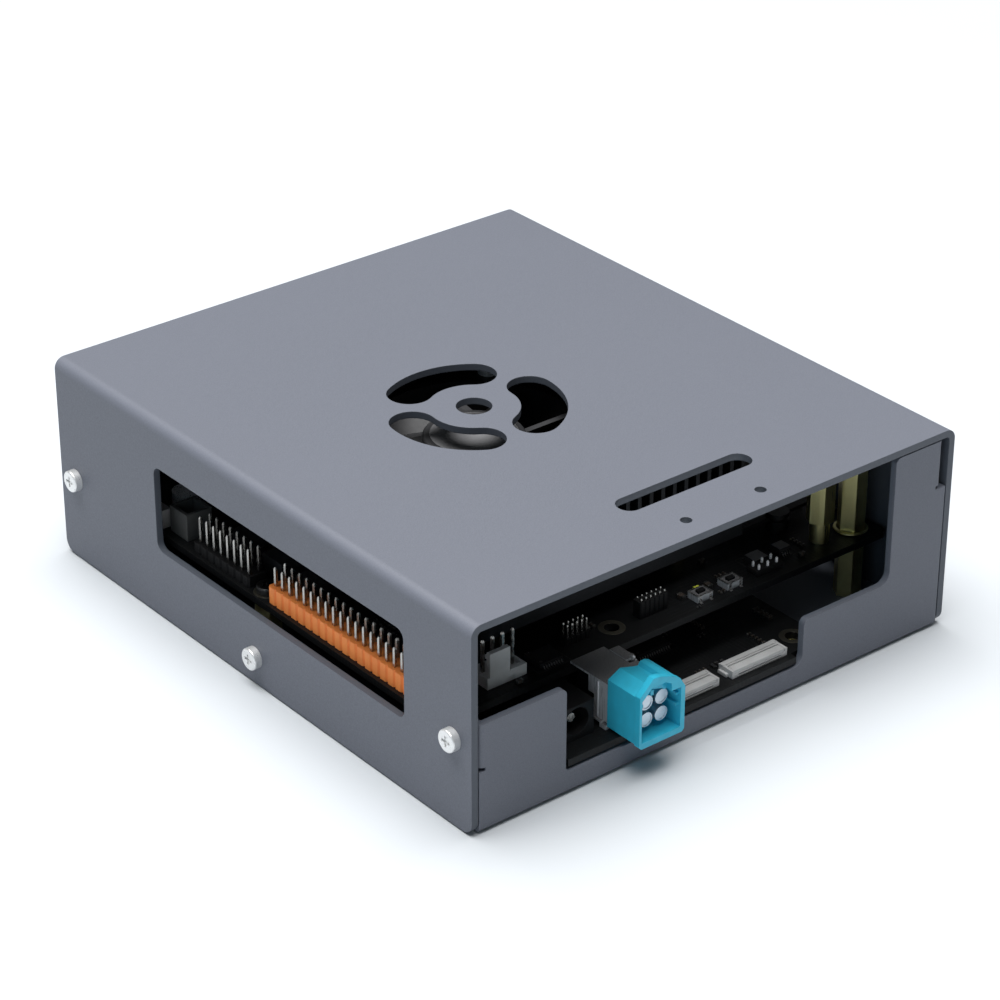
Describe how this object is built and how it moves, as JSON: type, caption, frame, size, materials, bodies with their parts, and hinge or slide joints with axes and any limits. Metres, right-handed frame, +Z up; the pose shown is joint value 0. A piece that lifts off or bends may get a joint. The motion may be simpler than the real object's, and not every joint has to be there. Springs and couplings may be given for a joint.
{
  "type": "single board computer",
  "caption": "Single board computer in a folded sheet-metal case: fan grille and slot in the lid, pin headers in a side window, coax and film sockets in the open front.",
  "frame": {"origin": "centre of the case's underside, midway between its side walls and between its front and rear panels", "axes": "+Z up through the lid; +X to the right and -Y out of the open front, seen from the front; the rear sockets look along +Y"},
  "size_m": [0.1336, 0.153, 0.0475],
  "materials": {
    "case_paint": "fine satin powder coat, blue grey",
    "nickel_steel": "nickel plated",
    "black_steel": "black oxide",
    "brass": "turned",
    "black_laminate": "black solder mask on glass-fibre laminate",
    "black_nylon": "moulded",
    "orange_nylon": "moulded",
    "white_nylon": "moulded",
    "grey_nylon": "moulded",
    "teal_plastic": "moulded",
    "dark_plastic": "moulded",
    "chip_resin": "moulded epoxy",
    "plated_pin": "tin plated",
    "shield_steel": "stamped",
    "shell_steel": "stamped",
    "black_aluminium": "black anodised",
    "grey_ferrite": "pressed powder",
    "can_aluminium": "drawn can"
  },
  "bodies": {
    "computer": {"aux_body": "black_nylon", "aux_pins": "plated_pin", "board_cans": "can_aluminium", "board_chips": "chip_resin", "board_chokes": "grey_ferrite", "board_link": "black_nylon", "board_screws": "black_steel", "board_standoffs": "brass", "boot_switch": "shield_steel", "case_screws_left": "nickel_steel", "case_screws_right": "nickel_steel", "coax_contacts": "plated_pin", "coax_housing": "teal_plastic", "coax_insulator": "black_nylon", "coax_shield": "shield_steel", "cover": "case_paint", "dc_jack": "black_nylon", "dc_jack_pin": "plated_pin", "debug_body": "black_nylon", "debug_pins": "plated_pin", "display_socket": "shell_steel", "drive_card": "black_laminate", "drive_screw": "black_steel", "drive_socket": "black_nylon", "fan_frame": "black_nylon", "fan_plug_body": "white_nylon", "fan_plug_pins": "plated_pin", "fan_screws": "nickel_steel", "film_sockets": "grey_nylon", "front_board": "black_laminate", "front_board_screws": "black_steel", "front_standoffs": "brass", "gpio_body": "orange_nylon", "gpio_pins": "plated_pin", "heatsink": "black_aluminium", "heatsink_fins": "black_aluminium", "main_board": "black_laminate", "module_board": "black_laminate", "module_connectors": "black_nylon", "module_screws": "nickel_steel", "module_spacers": "brass", "network_jacks": "shell_steel", "power_switch": "black_nylon", "processor": "chip_resin", "reset_switch": "shield_steel", "sense_socket": "grey_nylon", "serial_body": "black_nylon", "serial_pins": "plated_pin", "socket_tongues": "black_nylon", "supply_socket": "black_nylon", "tall_standoffs": "brass", "tray": "case_paint", "usb_c_socket": "shell_steel", "usb_stacks": "shell_steel"},
    "fan_rotor": {"fan_rotor": "dark_plastic"},
    "reset_cap": {"reset_cap": "black_nylon"},
    "boot_cap": {"boot_cap": "black_nylon"},
    "power_button": {"power_button": "black_nylon"},
    "film_latch_left": {"film_latch_left": "grey_nylon"},
    "film_latch_right": {"film_latch_right": "grey_nylon"}
  },
  "joints": [
    {"name": "fan_spin", "type": "hinge", "parent": "computer", "child": "fan_rotor", "pos_m": [-0.0076, -0.002, 0.035], "axis": [0, 0, 1], "continuous": true},
    {"name": "reset_press", "type": "slide", "parent": "computer", "child": "reset_cap", "axis": [0, 0, -1], "range_m": [0, 0.00025], "stiffness_N_per_m": 800},
    {"name": "boot_press", "type": "slide", "parent": "computer", "child": "boot_cap", "axis": [0, 0, -1], "range_m": [0, 0.00025], "stiffness_N_per_m": 800},
    {"name": "power_press", "type": "slide", "parent": "computer", "child": "power_button", "axis": [0, -1, 0], "range_m": [0, 0.0005], "stiffness_N_per_m": 800},
    {"name": "film_latch_left_flip", "type": "hinge", "parent": "computer", "child": "film_latch_left", "pos_m": [-0.0059, -0.0689, 0.00893], "axis": [-1, 0, 0], "range_deg": [0, 90]},
    {"name": "film_latch_right_flip", "type": "hinge", "parent": "computer", "child": "film_latch_right", "pos_m": [0.0132, -0.0689, 0.00893], "axis": [-1, 0, 0], "range_deg": [0, 90]}
  ]
}
